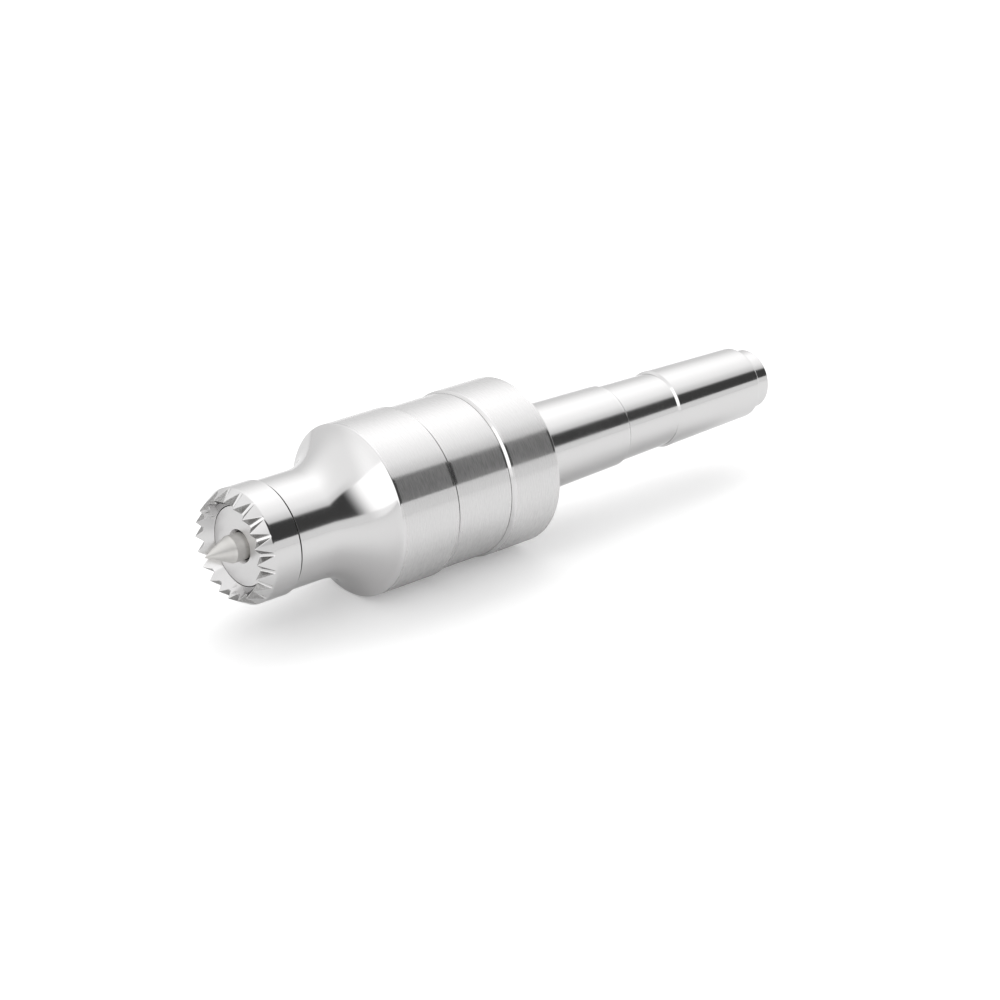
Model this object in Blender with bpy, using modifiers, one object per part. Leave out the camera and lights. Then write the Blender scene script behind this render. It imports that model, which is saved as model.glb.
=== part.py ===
"""Revolving toothed ring centre for a lathe tailstock, on a Morse taper 2 arbor.

The spindle axis lies along X: the work side is at -X and the taper shank at +X.
The origin is where the axis meets the back face of the collar, where the taper begins.
Sizes are written in millimetres, and MM turns them into Blender's metres.
A station is a distance along the axis from the origin, positive towards the shank.
"""

import math

import bmesh
import bpy

MM = 0.001

# Clearances
SEAT_GAP = 0.1  # between pieces that are pressed, screwed or clamped together
RUNNING_GAP = 0.3  # between pieces that turn or slide past each other
BALL_GAP = 0.15  # round a ball, in its grooves and in its pocket

# Morse taper 2 shank
GAUGE_DIAMETER = 17.78
GAUGE_OFFSET = 5.0  # the gauge plane lies this far behind the collar
TAPER_PER_LENGTH = 0.04995  # on the diameter
SHANK_LENGTH = 69.0
FRONT_LAND_LENGTH = 27.2
RELIEF_LENGTH = 13.8
RELIEF_DEPTH = 0.45
RELIEF_RAMP = 0.15
BUTTON_LENGTH = 3.2  # the plain end that the knock-out bar strikes
BUTTON_DIAMETER = 12.4
SHOULDER_RAMP = 0.9
CENTRE_HOLE_DIAMETER = 5.0
CENTRE_PILOT_DIAMETER = 2.0
CENTRE_PILOT_DEPTH = 5.5

# Ball bearings, a pair of one standard size
BEARING_BORE = 10.0
BEARING_DIAMETER = 26.0
BEARING_WIDTH = 8.0
BALL_DIAMETER = 4.76
BALL_COUNT = 7
GROOVE_DEPTH = 0.85
GROOVE_POINTS = 5
CAGE_WALL = 1.4
CAGE_RIM = 0.6
CAGE_REACH = 1.6  # how far the cage's prongs pass the balls' centres
BEARING_SEAL_THICKNESS = 0.5
BEARING_SEAL_INSET = 0.2
SPACER_WALL = 1.9

# Collar and sleeve, which hold the bearings
COLLAR_LENGTH = 12.0
COLLAR_FLOOR = 2.5
COLLAR_RIM = 1.75
COLLAR_STEP = 0.4
COLLAR_RAMP = 0.4
SLEEVE_LENGTH = 13.0
SLEEVE_LIP = 2.5
SPIGOT_WALL = 1.6
SPIGOT_LENGTH = 4.8
FLOOR_RELIEF = 0.8
SEAL_SECTION = 2.0
SEAL_WIDTH = 1.8

# Nose spindle
NOSE_STEP = 0.55
NOSE_CYLINDER_LENGTH = 13.7
NECK_DIAMETER = 21.1
NECK_LENGTH = 8.55
FLARE_RADIUS = 12.0
FLARE_POINTS = 9
FRONT_SPIGOT_DIAMETER = 15.1
FRONT_SPIGOT_LENGTH = 5.9
EDGE_BREAK = 0.3

# Circlip on the end of the journal
CIRCLIP_THICKNESS = 1.0
CIRCLIP_WIDTH = 2.0
CIRCLIP_OPENING = 40.0  # degrees
GROOVE_CUT = 0.6
JOURNAL_TAIL = 1.2
POCKET_CLEARANCE = 0.6

# Toothed crown
TOOTH_COUNT = 20
TOOTH_PHASE = 7.7  # degrees from the underside to the first notch
CROWN_DIAMETER = 22.0
CROWN_BACK_RAMP = 0.15
NOTCH_STATION = 5.8  # the notches' outer ends, ahead of the crown's back face
TIP_DIAMETER = 18.7
TIP_STATION = 8.93  # the tooth tips, ahead of the crown's back face
NOTCH_INNER_SHARE = 0.55  # where the notches run out, along the inner cone
NOTCH_FLOOR = 0.5  # width of the notches' flat bottoms

# Spring-loaded point
POINT_DIAMETER = 5.2
POINT_REACH = 4.65  # from the tooth tips to the point's tip
POINT_CONE_LENGTH = 5.55
POINT_LENGTH = 24.0
POINT_TRAVEL = 4.65
POINT_SLIDE_GAP = 0.15
MOUTH_DIAMETER = 6.5
MOUTH_DEPTH = 0.6

# Spring behind the point
SPRING_TURNS = 7
SPRING_WIRE = 0.6
SPRING_LENGTH = 10.4
SPRING_POINTS_PER_TURN = 10

# Grub screw that keeps the point in
GRUB_STATION = 5.0  # behind the crown's back face
GRUB_DIAMETER = 4.0
GRUB_DOG_DIAMETER = 2.0
GRUB_SUNK = 0.6
GRUB_SOCKET_ACROSS = 2.0
GRUB_SOCKET_DEPTH = 1.8
SLOT_DEPTH = 0.9

# Facets round the axis
BODY_SEGMENTS = 48
RING_SEGMENTS = 28
PIN_SEGMENTS = 20
BALL_SEGMENTS = 10
BALL_RINGS = 6
SHARP_ANGLE = math.radians(30)

# Radii, from the bearing outwards and inwards
pitch_radius = (BEARING_BORE + BEARING_DIAMETER) / 4
ball_radius = BALL_DIAMETER / 2
inner_land = pitch_radius - ball_radius + GROOVE_DEPTH
outer_land = pitch_radius + ball_radius - GROOVE_DEPTH
bearing_seat = BEARING_DIAMETER / 2 + SEAT_GAP
spigot_radius = bearing_seat + SPIGOT_WALL
counterbore_radius = spigot_radius + SEAT_GAP
collar_radius = counterbore_radius + COLLAR_RIM
sleeve_radius = collar_radius - COLLAR_STEP
nose_radius = sleeve_radius + NOSE_STEP
neck_radius = NECK_DIAMETER / 2
journal_radius = BEARING_BORE / 2 - SEAT_GAP
boss_radius = inner_land
lip_bore = boss_radius + RUNNING_GAP + SEAL_SECTION + SEAT_GAP
circlip_inner = journal_radius - GROOVE_CUT + SEAT_GAP
circlip_outer = circlip_inner + CIRCLIP_WIDTH
point_radius = POINT_DIAMETER / 2
point_bore = point_radius + POINT_SLIDE_GAP

# Stations, from the collar's back face towards the work
collar_front = -COLLAR_LENGTH
floor = -COLLAR_FLOOR
sleeve_front = collar_front - SLEEVE_LENGTH
lip_back = sleeve_front + SLEEVE_LIP
rear_bearing_back = floor - SEAT_GAP
rear_bearing_front = rear_bearing_back - BEARING_WIDTH
front_bearing_front = lip_back + SEAT_GAP
front_bearing_back = front_bearing_front + BEARING_WIDTH
nose_back = sleeve_front - RUNNING_GAP
rim = nose_back - NOSE_CYLINDER_LENGTH
flare_rise = nose_radius - EDGE_BREAK - neck_radius
flare_radius = max(FLARE_RADIUS, flare_rise)
flare_angle = math.acos(1 - flare_rise / flare_radius)
flare_front = rim - flare_radius * math.sin(flare_angle)
neck_front = flare_front - NECK_LENGTH
spigot_front = neck_front - FRONT_SPIGOT_LENGTH
crown_back = neck_front - SEAT_GAP
tooth_tip = crown_back - TIP_STATION
point_tip = tooth_tip - POINT_REACH
point_tail = point_tip + POINT_LENGTH
bore_end = point_tail + SPRING_LENGTH + 2 * SEAT_GAP
circlip_front = rear_bearing_back + SEAT_GAP
circlip_back = circlip_front + CIRCLIP_THICKNESS
journal_end = circlip_back + SEAT_GAP + JOURNAL_TAIL
pocket_end = journal_end + POCKET_CLEARANCE
grub_station = crown_back + GRUB_STATION


def clear_scene():
    for obj in list(bpy.data.objects):
        bpy.data.objects.remove(obj)


def new_collection(name):
    collection = bpy.data.collections.new(name)
    bpy.context.scene.collection.children.link(collection)
    return collection


def new_material(name, colour, roughness, metallic):
    material = bpy.data.materials.new(name)
    material.use_nodes = True
    shader = material.node_tree.nodes["Principled BSDF"]
    shader.inputs["Base Color"].default_value = (*colour, 1.0)
    shader.inputs["Roughness"].default_value = roughness
    shader.inputs["Metallic"].default_value = metallic
    return material


def add_object(name, data, collection, material=None):
    """Links an object to the spindle axis, whose own Z runs along the world's X."""
    obj = bpy.data.objects.new(name, data)
    collection.objects.link(obj)
    obj.parent = axis
    if material:
        obj.data.materials.append(material)
    return obj


def realise(obj):
    """Turns an object's curve or modifiers into a plain welded mesh, shaded smooth between its edges."""
    graph = bpy.context.evaluated_depsgraph_get()
    mesh = bpy.data.meshes.new_from_object(obj.evaluated_get(graph))
    bm = bmesh.new()
    bm.from_mesh(mesh)
    bmesh.ops.remove_doubles(bm, verts=bm.verts, dist=1e-7)
    bm.to_mesh(mesh)
    bm.free()
    mesh.shade_smooth()
    mesh.set_sharp_from_angle(angle=SHARP_ANGLE)
    if obj.type == "MESH":
        obj.modifiers.clear()
        obj.data = mesh
        return obj
    plain = bpy.data.objects.new(obj.name, mesh)
    obj.users_collection[0].objects.link(plain)
    plain.parent = obj.parent
    plain.matrix_basis = obj.matrix_basis
    name = obj.name
    bpy.data.objects.remove(obj)
    plain.name = name
    return plain


def turned(name, outline, material, segments, ring=False):
    """A turned piece. The outline is (station, radius) points that run from the work side to the shank
    along the outside, and back along the inside. A ring's outline closes on itself, off the axis."""
    points = [(radius * MM, 0.0, station * MM) for station, radius in reversed(outline)]
    edges = [(i, i + 1) for i in range(len(points) - 1)]
    if ring:
        edges.append((len(points) - 1, 0))
    mesh = bpy.data.meshes.new(name)
    mesh.from_pydata(points, edges, [])
    obj = add_object(name, mesh, parts, material)
    screw = obj.modifiers.new("Turn", "SCREW")
    screw.axis = "Z"
    screw.steps = screw.render_steps = segments
    screw.use_merge_vertices = True
    screw.merge_threshold = 1e-6
    return realise(obj)


def tube(name, station_a, station_b, inner, outer, material):
    """A plain ring between two stations."""
    corners = [(station_a, inner), (station_a, outer), (station_b, outer), (station_b, inner)]
    return turned(name, corners, material, RING_SEGMENTS, ring=True)


def cut(obj, cutter):
    """Takes the cutter away from the object."""
    boolean = obj.modifiers.new(cutter.name, "BOOLEAN")
    boolean.operation = "DIFFERENCE"
    boolean.object = cutter
    return obj


def hide_cutter(cutter):
    cutter.hide_render = True
    cutter.display_type = "WIRE"
    return cutter


def rod_cutter(name, radius, length, segments):
    """A cylinder or prism along its own Z, from 0 to its length."""
    bm = bmesh.new()
    bmesh.ops.create_cone(
        bm, cap_ends=True, segments=segments, radius1=radius * MM, radius2=radius * MM, depth=length * MM
    )
    bmesh.ops.translate(bm, verts=bm.verts, vec=(0, 0, length * MM / 2))
    mesh = bpy.data.meshes.new(name)
    bm.to_mesh(mesh)
    bm.free()
    return hide_cutter(add_object(name, mesh, cutters))


def box_cutter(name, low, high):
    """A box between two corners on the spindle axis's own X, Y and Z."""
    bm = bmesh.new()
    bmesh.ops.create_cube(bm, size=1.0)
    size = [(b - a) * MM for a, b in zip(low, high)]
    middle = [(a + b) * MM / 2 for a, b in zip(low, high)]
    bmesh.ops.scale(bm, verts=bm.verts, vec=size)
    bmesh.ops.translate(bm, verts=bm.verts, vec=middle)
    mesh = bpy.data.meshes.new(name)
    bm.to_mesh(mesh)
    bm.free()
    return hide_cutter(add_object(name, mesh, cutters))


def taper_radius(station):
    return (GAUGE_DIAMETER - TAPER_PER_LENGTH * (station - GAUGE_OFFSET)) / 2


def make_taper_arbor():
    """The taper shank and the collar, one piece of steel, bored for the rear bearing and the journal's end."""
    relief_front = FRONT_LAND_LENGTH
    relief_back = FRONT_LAND_LENGTH + RELIEF_LENGTH
    button_front = SHANK_LENGTH - BUTTON_LENGTH
    taper_end = button_front - SHOULDER_RAMP
    button_radius = BUTTON_DIAMETER / 2
    hole_radius = CENTRE_HOLE_DIAMETER / 2
    pilot_radius = CENTRE_PILOT_DIAMETER / 2
    cone_depth = (hole_radius - pilot_radius) / math.tan(math.radians(30))
    pocket_radius = circlip_outer + POCKET_CLEARANCE
    floor_relief_radius = (inner_land + outer_land) / 2
    bored = [
        (pocket_end, 0),
        (pocket_end, pocket_radius),
        (floor + FLOOR_RELIEF, pocket_radius),
        (floor + FLOOR_RELIEF, floor_relief_radius),
        (floor, floor_relief_radius),
        (floor, bearing_seat),
        (collar_front + SPIGOT_LENGTH + SEAT_GAP, bearing_seat),
        (collar_front + SPIGOT_LENGTH + SEAT_GAP, counterbore_radius),
        (collar_front, counterbore_radius),
    ]
    collar = [
        (collar_front, sleeve_radius),
        (collar_front + COLLAR_RAMP, collar_radius),
        (-EDGE_BREAK, collar_radius),
        (0, collar_radius - EDGE_BREAK),
    ]
    shank = [
        (0, taper_radius(0)),
        (relief_front - RELIEF_RAMP, taper_radius(relief_front - RELIEF_RAMP)),
        (relief_front, taper_radius(relief_front) - RELIEF_DEPTH),
        (relief_back, taper_radius(relief_back) - RELIEF_DEPTH),
        (relief_back + RELIEF_DEPTH, taper_radius(relief_back + RELIEF_DEPTH)),
        (taper_end, taper_radius(taper_end)),
        (button_front, button_radius),
        (SHANK_LENGTH - EDGE_BREAK, button_radius),
        (SHANK_LENGTH, button_radius - EDGE_BREAK),
    ]
    centre_hole = [
        (SHANK_LENGTH, hole_radius),
        (SHANK_LENGTH - cone_depth, pilot_radius),
        (SHANK_LENGTH - CENTRE_PILOT_DEPTH, pilot_radius),
        (SHANK_LENGTH - CENTRE_PILOT_DEPTH, 0),
    ]
    return turned("taper_arbor", bored + collar + shank + centre_hole, body_steel, BODY_SEGMENTS)


def make_bearing_sleeve():
    """Screws into the collar and clamps both outer rings between its lip and the collar's floor."""
    outline = [
        (sleeve_front, lip_bore),
        (sleeve_front, sleeve_radius - EDGE_BREAK),
        (sleeve_front + EDGE_BREAK, sleeve_radius),
        (collar_front - SEAT_GAP, sleeve_radius),
        (collar_front - SEAT_GAP, spigot_radius),
        (collar_front + SPIGOT_LENGTH, spigot_radius),
        (collar_front + SPIGOT_LENGTH, bearing_seat),
        (lip_back, bearing_seat),
        (lip_back, lip_bore),
    ]
    return turned("bearing_sleeve", outline, body_steel, BODY_SEGMENTS, ring=True)


def make_front_seal():
    """A felt ring in the sleeve's lip, round the nose's boss."""
    middle = (sleeve_front + lip_back) / 2
    return tube(
        "front_seal",
        middle - SEAL_WIDTH / 2,
        middle + SEAL_WIDTH / 2,
        boss_radius + RUNNING_GAP,
        lip_bore - SEAT_GAP,
        seal_felt,
    )


def groove(middle, outside):
    """The ball groove of a ring, from its front land to its back land."""
    radius = ball_radius + BALL_GAP
    land = outer_land if outside else inner_land
    half = math.acos(abs(land - pitch_radius) / radius)
    turns = [half * (2 * i / (GROOVE_POINTS - 1) - 1) for i in range(GROOVE_POINTS)]
    side = 1 if outside else -1
    return [(middle + radius * math.sin(t), pitch_radius + side * radius * math.cos(t)) for t in turns]


def make_bearing(name, front):
    """One deep-groove ball bearing: two rings, a snap-in cage, its balls and a seal on each side."""
    back = front + BEARING_WIDTH
    middle = (front + back) / 2
    outer = BEARING_DIAMETER / 2
    inner = BEARING_BORE / 2
    turned(
        f"{name}_outer_ring",
        [(front, outer_land), (front, outer), (back, outer), (back, outer_land)] + groove(middle, True)[::-1],
        bearing_steel,
        RING_SEGMENTS,
        ring=True,
    )
    turned(
        f"{name}_inner_ring",
        [(front, inner), (front, inner_land)] + groove(middle, False) + [(back, inner_land), (back, inner)],
        bearing_steel,
        RING_SEGMENTS,
        ring=True,
    )
    seal_in = inner_land + RUNNING_GAP
    seal_out = outer_land - SEAT_GAP
    near = front + BEARING_SEAL_INSET
    far = back - BEARING_SEAL_INSET
    tube(f"{name}_work_side_seal", near, near + BEARING_SEAL_THICKNESS, seal_in, seal_out, seal_rubber)
    tube(f"{name}_shank_side_seal", far - BEARING_SEAL_THICKNESS, far, seal_in, seal_out, seal_rubber)
    make_cage(name, middle)
    make_balls(name, middle)


def make_cage(name, middle):
    """A ring beside the balls with prongs between them, made as a ring with a round pocket for each ball."""
    pocket = ball_radius + BALL_GAP
    wall_in = pitch_radius - CAGE_WALL / 2
    wall_out = pitch_radius + CAGE_WALL / 2
    cage = tube(f"{name}_cage", middle - CAGE_REACH, middle + pocket + CAGE_RIM, wall_in, wall_out, cage_nylon)
    for number in range(BALL_COUNT):
        turn = 2 * math.pi * number / BALL_COUNT
        cutter = rod_cutter(f"{name}_pocket_{number + 1}", pocket, wall_out + pocket, PIN_SEGMENTS)
        cutter.rotation_euler = (0, math.pi / 2, turn)
        cutter.location = (0, 0, middle * MM)
        cut(cage, cutter)
    return cage


def make_balls(name, middle):
    bm = bmesh.new()
    bmesh.ops.create_uvsphere(bm, u_segments=BALL_SEGMENTS, v_segments=BALL_RINGS, radius=ball_radius * MM)
    ball_mesh = bpy.data.meshes.new(f"{name}_ball")
    bm.to_mesh(ball_mesh)
    bm.free()
    ball_mesh.shade_smooth()
    ball_mesh.materials.append(bearing_steel)
    for number in range(BALL_COUNT):
        turn = 2 * math.pi * number / BALL_COUNT
        ball = add_object(f"{name}_ball_{number + 1}", ball_mesh, parts)
        ball.location = (
            pitch_radius * math.cos(turn) * MM,
            pitch_radius * math.sin(turn) * MM,
            middle * MM,
        )


def make_spacers():
    """Tubes that hold the two bearings apart, one between the outer rings and one between the inner."""
    front = front_bearing_back + SEAT_GAP
    back = rear_bearing_front - SEAT_GAP
    outer = BEARING_DIAMETER / 2
    inner = BEARING_BORE / 2
    tube("outer_spacer", front, back, outer - SPACER_WALL, outer, body_steel)
    tube("inner_spacer", front, back, inner, inner + SPACER_WALL, body_steel)


def make_nose_spindle():
    """The turning body: a spigot for the crown, the neck, flare and drum, and the journal in the bearings."""
    flare = []
    for i in range(FLARE_POINTS):
        turn = flare_angle * i / (FLARE_POINTS - 1)
        flare.append(
            (flare_front + flare_radius * math.sin(turn), neck_radius + flare_radius * (1 - math.cos(turn)))
        )
    spigot_radius_front = FRONT_SPIGOT_DIAMETER / 2
    boss_back = front_bearing_front - SEAT_GAP
    point_hole = [
        (bore_end, 0),
        (bore_end, point_bore),
        (spigot_front + MOUTH_DEPTH, point_bore),
        (spigot_front, MOUTH_DIAMETER / 2),
    ]
    front = [
        (spigot_front, spigot_radius_front),
        (neck_front, spigot_radius_front),
        (neck_front, neck_radius),
    ]
    drum = [
        (rim + EDGE_BREAK, nose_radius),
        (nose_back - EDGE_BREAK, nose_radius),
        (nose_back, nose_radius - EDGE_BREAK),
    ]
    journal = [
        (nose_back, boss_radius),
        (boss_back, boss_radius),
        (boss_back, journal_radius),
        (circlip_front - SEAT_GAP, journal_radius),
        (circlip_front - SEAT_GAP, journal_radius - GROOVE_CUT),
        (circlip_back + SEAT_GAP, journal_radius - GROOVE_CUT),
        (circlip_back + SEAT_GAP, journal_radius),
        (journal_end - EDGE_BREAK, journal_radius),
        (journal_end, journal_radius - EDGE_BREAK),
        (journal_end, 0),
    ]
    spindle = turned("nose_spindle", point_hole + front + flare + drum + journal, body_steel, BODY_SEGMENTS)
    screw_hole = rod_cutter("grub_hole", GRUB_DIAMETER / 2 + SEAT_GAP, nose_radius, PIN_SEGMENTS)
    screw_hole.rotation_euler = (0, math.pi / 2, 0)
    screw_hole.location = (0, 0, grub_station * MM)
    return cut(spindle, screw_hole)


def make_circlip():
    """A flat split ring in the groove at the journal's end, which keeps both inner rings on."""
    opening = math.radians(CIRCLIP_OPENING) / 2
    turns = [opening + (2 * math.pi - 2 * opening) * i / RING_SEGMENTS for i in range(RING_SEGMENTS + 1)]
    outline = [(circlip_outer, t) for t in turns] + [(circlip_inner, t) for t in reversed(turns)]
    curve = bpy.data.curves.new("circlip", "CURVE")
    curve.dimensions = "2D"
    curve.fill_mode = "BOTH"
    curve.extrude = CIRCLIP_THICKNESS * MM / 2
    spline = curve.splines.new("POLY")
    spline.points.add(len(outline) - 1)
    spline.use_cyclic_u = True
    for point, (radius, turn) in zip(spline.points, outline):
        point.co = (radius * math.cos(turn) * MM, radius * math.sin(turn) * MM, 0, 1)
    clip = add_object("circlip", curve, parts, spring_steel)
    clip.location = (0, 0, (circlip_front + circlip_back) / 2 * MM)
    return realise(clip)


def make_crown_ring():
    """The toothed ring on the nose's spigot. Its front is a sharp edge between an outer and an inner cone,
    parted into teeth by flat-bottomed notches that fall away towards the outside."""
    bore = FRONT_SPIGOT_DIAMETER / 2 + SEAT_GAP
    outside = CROWN_DIAMETER / 2
    mouth = spigot_front
    tip_radius = TIP_DIAMETER / 2
    valley_station = mouth + (tooth_tip - mouth) * NOTCH_INNER_SHARE
    valley_radius = bore + (tip_radius - bore) * NOTCH_INNER_SHARE
    pitch = 2 * math.pi / TOOTH_COUNT
    notches = [math.radians(TOOTH_PHASE) + pitch * k for k in range(TOOTH_COUNT)]
    bm = bmesh.new()

    def point(station, radius, turn):
        return bm.verts.new((radius * math.cos(turn) * MM, radius * math.sin(turn) * MM, station * MM))

    def circle(station, radius):
        """Three points for each tooth: its notch's two bottom edges, then the tooth's middle."""
        half = math.asin(NOTCH_FLOOR / 2 / radius)
        turns = [turn for notch in notches for turn in (notch - half, notch + half, notch + pitch / 2)]
        return [point(station, radius, turn) for turn in turns]

    back_inside = circle(crown_back, bore)
    back_outside = circle(crown_back, neck_radius)
    ramp = circle(crown_back - CROWN_BACK_RAMP, outside)
    notch_ends = circle(crown_back - NOTCH_STATION, outside)
    valleys = circle(valley_station, valley_radius)
    mouth_edge = circle(mouth, bore)
    loops = [valleys, mouth_edge, back_inside, back_outside, ramp, notch_ends]
    count = len(valleys)
    for first, second in zip(loops, loops[1:]):
        for i in range(count):
            j = (i + 1) % count
            bm.faces.new((first[i], first[j], second[j], second[i]))
    for k, notch in enumerate(notches):
        near, far, middle, after = 3 * k, 3 * k + 1, 3 * k + 2, (3 * k + 3) % count
        tip = point(tooth_tip, tip_radius, notch + pitch / 2)
        bm.faces.new((notch_ends[near], notch_ends[far], valleys[far], valleys[near]))
        for loop in (notch_ends, valleys):
            bm.faces.new((loop[far], loop[middle], tip))
            bm.faces.new((loop[middle], loop[after], tip))
        for edge in (far, after):
            bm.faces.new((notch_ends[edge], valleys[edge], tip))
    bmesh.ops.recalc_face_normals(bm, faces=bm.faces)
    mesh = bpy.data.meshes.new("crown_ring")
    bm.to_mesh(mesh)
    bm.free()
    mesh.shade_smooth()
    mesh.set_sharp_from_angle(angle=SHARP_ANGLE)
    return add_object("crown_ring", mesh, parts, crown_steel)


def make_center_point():
    """The sliding point. A slot along its underside takes the grub screw's dog and sets its travel."""
    outline = [
        (point_tip, 0),
        (point_tip + POINT_CONE_LENGTH, point_radius),
        (point_tail - EDGE_BREAK, point_radius),
        (point_tail, point_radius - EDGE_BREAK),
        (point_tail, 0),
    ]
    point = turned("center_point", outline, point_steel, PIN_SEGMENTS)
    dog = GRUB_DOG_DIAMETER / 2 + RUNNING_GAP
    slot = box_cutter(
        "point_slot",
        (point_radius - SLOT_DEPTH, -dog, grub_station - dog - POINT_TRAVEL),
        (2 * point_radius, dog, grub_station + dog),
    )
    return cut(point, slot)


def make_point_spring():
    """A coil spring between the point's tail and the end of its bore, one unbroken helix."""
    radius = point_bore - RUNNING_GAP - SPRING_WIRE / 2
    start = point_tail + SEAT_GAP + SPRING_WIRE / 2
    rise = SPRING_LENGTH - SPRING_WIRE
    count = SPRING_TURNS * SPRING_POINTS_PER_TURN + 1
    curve = bpy.data.curves.new("point_spring", "CURVE")
    curve.dimensions = "3D"
    curve.bevel_depth = SPRING_WIRE * MM / 2
    curve.bevel_resolution = 1
    curve.use_fill_caps = True
    spline = curve.splines.new("POLY")
    spline.points.add(count - 1)
    for i, point in enumerate(spline.points):
        turn = 2 * math.pi * i / SPRING_POINTS_PER_TURN
        station = start + rise * i / (count - 1)
        point.co = (radius * math.cos(turn) * MM, radius * math.sin(turn) * MM, station * MM, 1)
    print(f"point_spring: {rise / SPRING_TURNS - SPRING_WIRE:.2f} mm clear between turns")
    return realise(add_object("point_spring", curve, parts, spring_steel))


def make_grub_screw():
    """A socket grub screw across the neck's underside, whose dog rides in the point's slot."""
    dog_tip = point_radius - SLOT_DEPTH + RUNNING_GAP
    dog_back = point_bore + SEAT_GAP
    head = neck_radius - GRUB_SUNK
    radius = GRUB_DIAMETER / 2
    dog = GRUB_DOG_DIAMETER / 2
    outline = [
        (dog_tip, 0),
        (dog_tip, dog),
        (dog_back, dog),
        (dog_back, radius - EDGE_BREAK),
        (dog_back + EDGE_BREAK, radius),
        (head - EDGE_BREAK, radius),
        (head, radius - EDGE_BREAK),
        (head, 0),
    ]
    screw = turned("point_grub_screw", outline, screw_black, PIN_SEGMENTS)
    across_corners = GRUB_SOCKET_ACROSS / math.cos(math.radians(30))
    socket = rod_cutter("grub_socket", across_corners / 2, 2 * GRUB_SOCKET_DEPTH, 6)
    for obj, height in ((screw, 0), (socket, head - GRUB_SOCKET_DEPTH)):
        obj.rotation_euler = (0, math.pi / 2, 0)
        obj.location = (height * MM, 0, grub_station * MM)
    return cut(screw, socket)


clear_scene()
parts = new_collection("revolving_ring_centre")
cutters = new_collection("cutters")
axis = bpy.data.objects.new("spindle_axis", None)
parts.objects.link(axis)
axis.rotation_euler = (0, math.pi / 2, 0)

body_steel = new_material("body_steel", (0.78, 0.78, 0.79), 0.28, 1.0)
crown_steel = new_material("crown_steel", (0.76, 0.76, 0.77), 0.3, 1.0)
point_steel = new_material("point_steel", (0.62, 0.61, 0.58), 0.35, 1.0)
bearing_steel = new_material("bearing_steel", (0.7, 0.7, 0.72), 0.15, 1.0)
spring_steel = new_material("spring_steel", (0.4, 0.4, 0.42), 0.35, 1.0)
screw_black = new_material("screw_black", (0.06, 0.06, 0.065), 0.45, 0.8)
cage_nylon = new_material("cage_nylon", (0.75, 0.72, 0.62), 0.55, 0.0)
seal_rubber = new_material("seal_rubber", (0.05, 0.05, 0.05), 0.7, 0.0)
seal_felt = new_material("seal_felt", (0.5, 0.47, 0.42), 0.95, 0.0)

make_taper_arbor()
make_bearing_sleeve()
make_front_seal()
make_bearing("front_bearing", front_bearing_front)
make_bearing("rear_bearing", rear_bearing_front)
make_spacers()
make_nose_spindle()
make_circlip()
make_crown_ring()
make_center_point()
make_point_spring()
make_grub_screw()
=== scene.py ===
import math

import bmesh
import bpy
import numpy as np
from mathutils import Matrix


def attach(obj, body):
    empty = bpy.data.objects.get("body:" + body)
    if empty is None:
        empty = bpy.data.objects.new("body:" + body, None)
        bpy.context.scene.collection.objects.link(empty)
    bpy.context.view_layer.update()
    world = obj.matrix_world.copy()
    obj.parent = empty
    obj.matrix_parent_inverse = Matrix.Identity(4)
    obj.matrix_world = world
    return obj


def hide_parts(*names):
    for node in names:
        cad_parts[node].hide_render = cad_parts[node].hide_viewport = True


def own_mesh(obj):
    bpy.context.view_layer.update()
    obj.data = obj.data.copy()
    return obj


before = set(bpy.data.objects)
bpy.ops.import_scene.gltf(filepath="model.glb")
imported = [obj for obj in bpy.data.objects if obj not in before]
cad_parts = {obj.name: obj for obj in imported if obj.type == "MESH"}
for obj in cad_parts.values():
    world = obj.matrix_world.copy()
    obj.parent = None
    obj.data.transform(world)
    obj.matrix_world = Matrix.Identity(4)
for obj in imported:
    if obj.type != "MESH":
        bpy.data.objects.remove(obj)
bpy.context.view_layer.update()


# Taper arbor: the shank and the collar, one bar of steel turned between centres and ground on the taper.
# The Morse taper 2 grips the tailstock by friction. Its waist is relieved so that it seats at both ends,
# the reduced tail takes the knock-out bar, and the collar is bored for the rear bearing.
MM = 0.001
TURN_STEPS = 192
SUPPORT_INSET = 0.05
SIDE_SHARE = 0.45
SAME_POINT = 1e-5
NEARLY_STRAIGHT = 0.9999
WELD_DISTANCE = 1e-8
SMOOTH_ANGLE = math.radians(40)
TAPER_SLOPE = 0.024975
GAUGE_RADIUS = 8.89
GAUGE_STATION = 5.0


def taper(station):
    """The shank's radius: the gauge radius, less the slope times the distance behind the gauge plane."""
    return GAUGE_RADIUS - TAPER_SLOPE * (station - GAUGE_STATION)


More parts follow.
